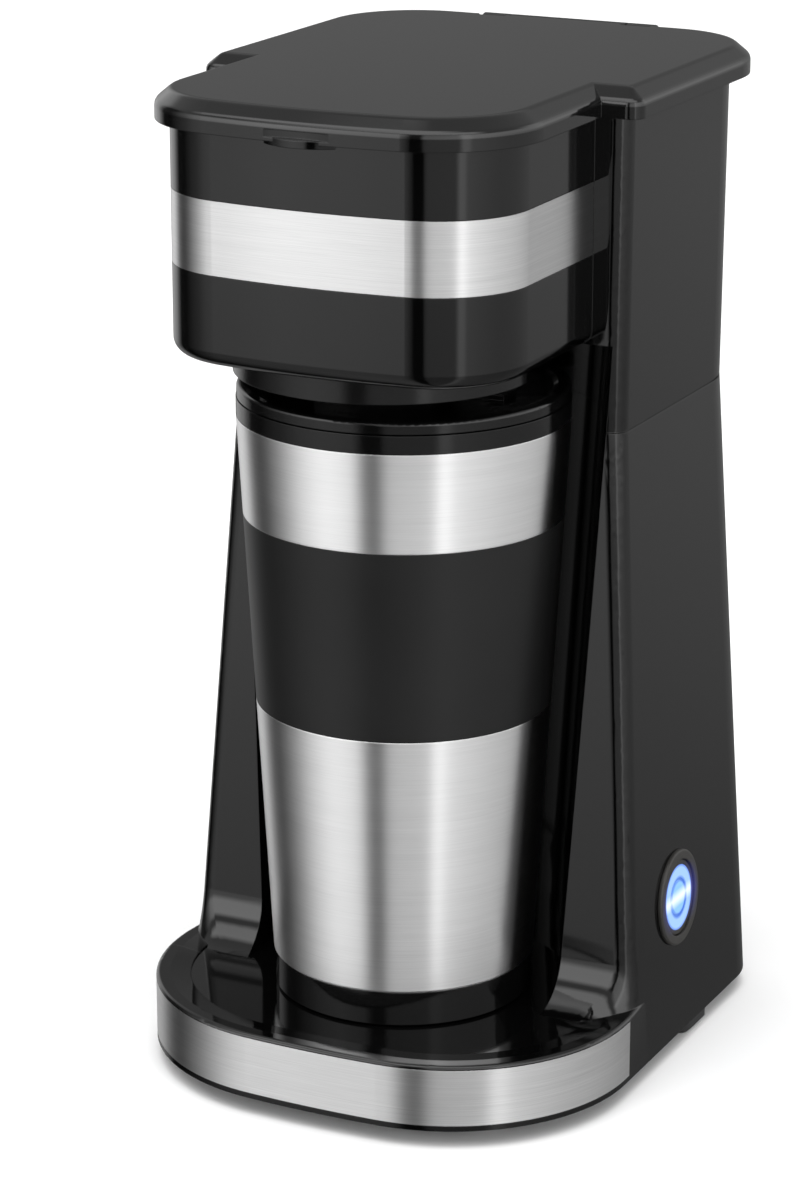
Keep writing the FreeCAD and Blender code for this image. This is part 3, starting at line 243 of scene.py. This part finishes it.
def bump(tree, height, shader, distance, strength, edge=0.0):
    """Bump from a height, over edges that are eased by a small radius."""
    node = tree.nodes.new("ShaderNodeBump")
    node.inputs["Distance"].default_value = distance
    node.inputs["Strength"].default_value = strength
    tree.links.new(height, node.inputs["Height"])
    tree.links.new(node.outputs["Normal"], shader.inputs["Normal"])
    if edge:
        eased = tree.nodes.new("ShaderNodeBevel")
        eased.samples = 4
        eased.inputs["Radius"].default_value = edge
        tree.links.new(eased.outputs["Normal"], node.inputs["Normal"])


def finish(name, group, dark, light, least, most, distance, strength, edge=0.0):
    """Material whose colour, roughness and bump come from one shared effect."""
    material, tree, shader = new_material(name)
    skin = placed_group(tree, group)
    skin.inputs["Dark"].default_value = (*dark, 1.0)
    skin.inputs["Light"].default_value = (*light, 1.0)
    skin.inputs["Least Roughness"].default_value = least
    skin.inputs["Most Roughness"].default_value = most
    tree.links.new(skin.outputs["Colour"], shader.inputs["Base Color"])
    tree.links.new(skin.outputs["Roughness"], shader.inputs["Roughness"])
    bump(tree, skin.outputs["Height"], shader, distance, strength, edge)
    return material, tree, shader, skin


def grey(value):
    return (value, value, value)


def gloss_black():
    """Polished black moulding of the housings and the lid."""
    material, _, shader, _ = finish(
        "gloss_black", MOULDED, grey(0.0010), grey(0.0016), 0.05, 0.09, SKIN_DEPTH, 0.04, 0.35 * MM)
    shader.inputs["IOR"].default_value = GLOSS_IOR
    return material


def black_plastic(name, dark, light, least, most):
    return finish(name, MOULDED, grey(dark), grey(light), least, most, SKIN_DEPTH, 0.2, 0.3 * MM)[0]


def brushed_steel(name, dark, light, least, most, edge):
    """Steel whose highlights are drawn out across the level brushing."""
    material, tree, shader, _ = finish(
        name, BRUSHED, grey(dark), grey(light), least, most, BRUSH_DEPTH, 0.15, edge)
    shader.inputs["Metallic"].default_value = 1.0
    shader.inputs["Anisotropic"].default_value = BRUSH_STRETCH
    shader.inputs["Anisotropic Rotation"].default_value = BRUSH_TURN
    tangent = tree.nodes.new("ShaderNodeTangent")
    tangent.direction_type = "RADIAL"
    tangent.axis = "Z"
    tree.links.new(tangent.outputs["Tangent"], shader.inputs["Tangent"])
    return material


def grained(name, dark, light, least, most, grain, strength, metallic=0.0, softness=0.0):
    material, _, shader, skin = finish(
        name, GRAINED, dark, light, least, most, SKIN_DEPTH, strength, 0.2 * MM)
    skin.inputs["Grain"].default_value = grain
    shader.inputs["Metallic"].default_value = metallic
    shader.inputs["Subsurface Weight"].default_value = softness
    shader.inputs["Subsurface Scale"].default_value = SOFT_DEPTH
    return material


def cloudy_plastic():
    """Clouded tank plastic that lets some light through."""
    material, _, shader, _ = finish(
        "cloudy_plastic", MOULDED, (0.52, 0.55, 0.58), (0.60, 0.62, 0.65), 0.3, 0.42, SKIN_DEPTH, 0.15)
    shader.inputs["Transmission Weight"].default_value = 0.35
    return material


def lit_button():
    """Dark button face with the lens's blue light on it, strongest level with the lens's centre."""
    dark = (0.022, 0.021, 0.019)
    light = (0.028, 0.027, 0.025)
    material, tree, shader, _ = finish(
        "lit_button", MOULDED, dark, light, 0.4, 0.5, SKIN_DEPTH, 0.2, 0.5 * MM)
    place = placed_group(tree, BUTTON_PLACE)
    near = spread(tree, place.outputs["Radius"], 1.0, 0.0, *GLOW_RADIUS)
    level = spread(tree, place.outputs["Level"], 1.0, 0.0, *GLOW_LEVEL)
    glow = math_node(tree, "MULTIPLY", near, level)
    tree.links.new(mixed(tree, glow, grey(0.0), GLOW_BLUE), shader.inputs["Emission Color"])
    shader.inputs["Emission Strength"].default_value = 1.0
    return material


def lit_lens():
    """Lit blue lens: a darker ring and rim, and a painted highlight, a white glint across the middle."""
    material, tree, shader, _ = finish(
        "lit_lens", MOULDED, (0.05, 0.12, 0.4), (0.06, 0.15, 0.45), 0.08, 0.14, SKIN_DEPTH, 0.1)
    place = placed_group(tree, BUTTON_PLACE)
    radius = place.outputs["Radius"]
    pale = mixed(tree, spread(tree, radius, 0.0, 1.0, *LENS_MIDDLE), MIDDLE_BLUE, OUTER_BLUE)
    # Painted highlight: a white glint level with the lens's centre, which also pales the ring
    glint_mask = spread(tree, place.outputs["Level"], 1.0, 0.0, *LENS_GLINT_LEVEL)
    pale = mixed(tree, glint_mask, pale, GLINT_WHITE)
    off_ring = math_node(tree, "ABSOLUTE", math_node(tree, "SUBTRACT", radius, RING_RADIUS))
    ring = spread(tree, off_ring, 1.0, 0.0, *RING_EDGE)
    ring = math_node(tree, "MULTIPLY", ring, spread(tree, glint_mask, 1.0, 0.25))
    lit = mixed(tree, ring, pale, RING_BLUE)
    rim = spread(tree, radius, 0.0, 1.0, *LENS_RIM)
    lit = mixed(tree, rim, lit, RIM_BLUE)
    tree.links.new(lit, shader.inputs["Emission Color"])
    shader.inputs["Emission Strength"].default_value = 0.95
    return material


def board_green():
    """Circuit board: green mask over copper runs, with bright solder spots."""
    material, tree, shader, skin = finish(
        "board_green", MOULDED, (0.010, 0.085, 0.030), (0.014, 0.110, 0.040), 0.25, 0.4, SKIN_DEPTH, 0.2)
    where = tree.nodes.new("ShaderNodeTexCoord").outputs["Object"]
    runs = tree.nodes.new("ShaderNodeTexBrick")
    runs.inputs["Scale"].default_value = RUN_SCALE
    runs.inputs["Mortar Size"].default_value = RUN_WIDTH
    turned = tree.nodes.new("ShaderNodeMapping")
    turned.inputs["Rotation"].default_value = (0.0, math.radians(90.0), 0.0)
    tree.links.new(where, turned.inputs["Vector"])
    tree.links.new(turned.outputs["Vector"], runs.inputs["Vector"])
    spots = tree.nodes.new("ShaderNodeTexVoronoi")
    spots.inputs["Scale"].default_value = SPOT_SCALE
    tree.links.new(where, spots.inputs["Vector"])
    solder = spread(tree, spots.outputs["Distance"], 1.0, 0.0, *SPOT_EDGE)
    green = mixed(tree, runs.outputs["Fac"], skin.outputs["Colour"], RUN_GREEN)
    tree.links.new(mixed(tree, solder, green, SOLDER_GREY), shader.inputs["Base Color"])
    tree.links.new(solder, shader.inputs["Metallic"])
    return material


GLOSS_BLACK = gloss_black()
FINISHES = {
    "housing_plastic": GLOSS_BLACK,
    "lid_plastic": GLOSS_BLACK,
    "inner_plastic": black_plastic("satin_inner", 0.003, 0.005, 0.12, 0.2),
    "band_steel": brushed_steel("band_brushed", 0.65, 0.80, 0.29, 0.36, 0.15 * MM),
    "mug_steel": brushed_steel("mug_brushed", 0.90, 1.0, 0.29, 0.36, 0.5 * MM),
    "sleeve_black": black_plastic("sleeve_satin", 0.0035, 0.0055, 0.36, 0.44),
    "mug_plastic": black_plastic("mug_satin", 0.002, 0.003, 0.07, 0.12),
    "button_plastic": lit_button(),
    "lens_blue": lit_lens(),
    "foot_rubber": grained("foot_rubber", grey(0.012), grey(0.02), 0.7, 0.85, 1500.0, 0.3),
    "hose_silicone": grained(
        "clear_silicone", (0.62, 0.60, 0.55), (0.72, 0.70, 0.66), 0.35, 0.5, 900.0, 0.1, softness=0.3),
    "tank_plastic": cloudy_plastic(),
    "fitting_plastic": finish(
        "white_fitting", MOULDED, grey(0.62), grey(0.72), 0.35, 0.5, SKIN_DEPTH, 0.2, 0.2 * MM)[0],
    "gland_plastic": grained("gland_black", grey(0.008), grey(0.014), 0.45, 0.6, 1300.0, 0.25),
    "heater_aluminium": grained(
        "cast_aluminium", grey(0.52), grey(0.66), 0.35, 0.55, 1100.0, 0.6, metallic=1.0),
    "rod_metal": grained(
        "heat_dulled_rod", (0.10, 0.095, 0.09), (0.20, 0.18, 0.16), 0.4, 0.6, 1400.0, 0.4, metallic=1.0),
    "small_steel": grained("bright_steel", grey(0.62), grey(0.74), 0.16, 0.26, 700.0, 0.05, metallic=1.0),
    "board_green": board_green(),
}

for row in frame["record"]["subparts"]:
    slots = nodes[row["node"]].data.materials
    slots.clear()
    slots.append(FINISHES[row["material_slot"]])

# Floor, light and camera
FLOOR_SIZE = 60.0

# Brightness of the panels round the object, by bearing from the front in degrees to the right.
# The low ring shows under the horizon, the high ring over it.
LOW_PANELS = [
    (-180, 0.30), (-158, 0.20), (-146, 0.22), (-132, 0.80), (-116, 0.85), (-108, 0.40),
    (-102, 0.03), (-88, 0.02), (-80, 0.10), (-65, 0.30), (-55, 0.55), (-48, 0.72),
    (-32, 0.94), (-20, 0.92), (-9, 0.83), (-4, 0.3), (-1, 0.0), (10, 0.0),
    (13, 0.36), (16, 0.45), (47, 0.48), (50, 1.0), (52, 1.4), (57, 1.35),
    (61, 0.85), (75, 0.72), (100, 0.55), (150, 0.37), (180, 0.30),
]
HIGH_PANELS = [
    (-180, 0.30), (-158, 0.20), (-146, 0.22), (-132, 0.95), (-116, 1.0), (-108, 0.5),
    (-102, 0.10), (-88, 0.08), (-80, 0.25), (-65, 0.9), (-50, 1.9), (-32, 2.7),
    (-9, 2.0), (-3, 0.4), (0, 0.1), (9, 0.1), (13, 1.4), (47, 1.7),
    (52, 2.7), (57, 2.7), (63, 2.2), (100, 1.7), (150, 1.2), (163, 0.6), (180, 0.30),
]

# Share of the low ring that is left at its foot, and the brightness over the panels and of the ceiling
LOW_SHARE = 0.45
OVERHEAD = 0.5
CEILING = 2.2

# Heights over the horizon, in degrees, between which each of them gives way to the next
FOOT_RISE = (-20, -11)
RING_CHANGE = (-9, 2)
PANEL_TOP = (26, 34)
CEILING_EDGE = (40, 48)
CEILING_FRONT = (0.02, 0.2)

LIGHT_SIZE = 3.0
LIGHT_HEIGHT = 3.0
LIGHT_POWER = 62.0

# Camera of the photograph, with lengths in millimetres and angles in degrees
SENSOR_WIDTH = 36.0
FOCAL_PIXELS = 3792.22
PHOTO_PIXELS = 800.0
CAMERA_PLACE = (432.91, -901.53, 441.19)
CAMERA_DIP = 17.43
CAMERA_TURN = 26.37
CLIP_START = 0.01


def floor():
    """Plain pale paper, kept out of the reflections."""
    bpy.ops.mesh.primitive_plane_add(size=FLOOR_SIZE)
    plane = bpy.context.object
    plane.name = "floor"
    paper = finish("floor_paper", MOULDED, grey(0.90), grey(0.92), 0.75, 0.85, SKIN_DEPTH, 0.0)[0]
    plane.data.materials.append(paper)
    plane.visible_glossy = False


def panel_ring(tree, turn, panels):
    """Grey level round the object, from the panels' bearings."""
    ramp = tree.nodes.new("ShaderNodeValToRGB")
    tree.links.new(turn, ramp.inputs["Fac"])
    stops = ramp.color_ramp.elements
    stops.remove(stops[1])
    stops[0].position = 0.0
    stops[0].color = (*grey(panels[0][1]), 1.0)
    for degrees, level in panels[1:]:
        stop = stops.new(0.5 + degrees / 360.0)
        stop.color = (*grey(level), 1.0)
    return ramp.outputs["Color"]


def between(tree, height, low, high, start, stop):
    """Value that goes from low to high between two heights above the horizon, in degrees."""
    return spread(tree, height, low, high, math.sin(math.radians(start)), math.sin(math.radians(stop)))


def studio():
    """Soft panels that stand round the object, and a plain ceiling that is bright in front."""
    sky = bpy.data.worlds.new("studio")
    sky.use_nodes = True
    tree = sky.node_tree
    direction = tree.nodes.new("ShaderNodeTexCoord").outputs["Generated"]
    apart = tree.nodes.new("ShaderNodeSeparateXYZ")
    tree.links.new(direction, apart.inputs["Vector"])
    forward = math_node(tree, "MULTIPLY", apart.outputs["Y"], -1.0)
    bearing = math_node(tree, "ARCTAN2", apart.outputs["X"], forward)
    turn = spread(tree, bearing, 0.0, 1.0, -math.pi, math.pi)
    height = apart.outputs["Z"]
    share = between(tree, height, LOW_SHARE, 1.0, *FOOT_RISE)
    low = math_node(tree, "MULTIPLY", panel_ring(tree, turn, LOW_PANELS), share)
    high = panel_ring(tree, turn, HIGH_PANELS)
    panels = mixed(tree, between(tree, height, 0.0, 1.0, *RING_CHANGE), low, high)
    panels = mixed(tree, between(tree, height, 0.0, 1.0, *PANEL_TOP), panels, grey(OVERHEAD))
    ahead = spread(tree, forward, 0.0, 1.0, *CEILING_FRONT)
    above = math_node(tree, "MULTIPLY", between(tree, height, 0.0, 1.0, *CEILING_EDGE), ahead)
    colour = mixed(tree, above, panels, grey(CEILING))
    tree.links.new(colour, tree.nodes["Background"].inputs["Color"])
    bpy.context.scene.world = sky


def top_light():
    """Broad soft light over the floor, kept out of the reflections."""
    data = bpy.data.lights.new("top_light", "AREA")
    data.shape = "DISK"
    data.size = LIGHT_SIZE
    data.energy = LIGHT_POWER
    lamp = bpy.data.objects.new("top_light", data)
    lamp.location = (0.0, 0.0, LIGHT_HEIGHT)
    lamp.visible_glossy = False
    bpy.context.collection.objects.link(lamp)


def photo_camera():
    data = bpy.data.cameras.new("photo_camera")
    data.sensor_fit = "HORIZONTAL"
    data.sensor_width = SENSOR_WIDTH
    data.lens = FOCAL_PIXELS / PHOTO_PIXELS * SENSOR_WIDTH
    data.clip_start = CLIP_START
    camera = bpy.data.objects.new("photo_camera", data)
    bpy.context.collection.objects.link(camera)
    camera.location = [length * MM for length in CAMERA_PLACE]
    camera.rotation_euler = (math.radians(90.0 - CAMERA_DIP), 0.0, math.radians(CAMERA_TURN))
    bpy.context.scene.camera = camera
    bpy.context.scene.view_settings.view_transform = "Standard"


floor()
studio()
top_light()
photo_camera()
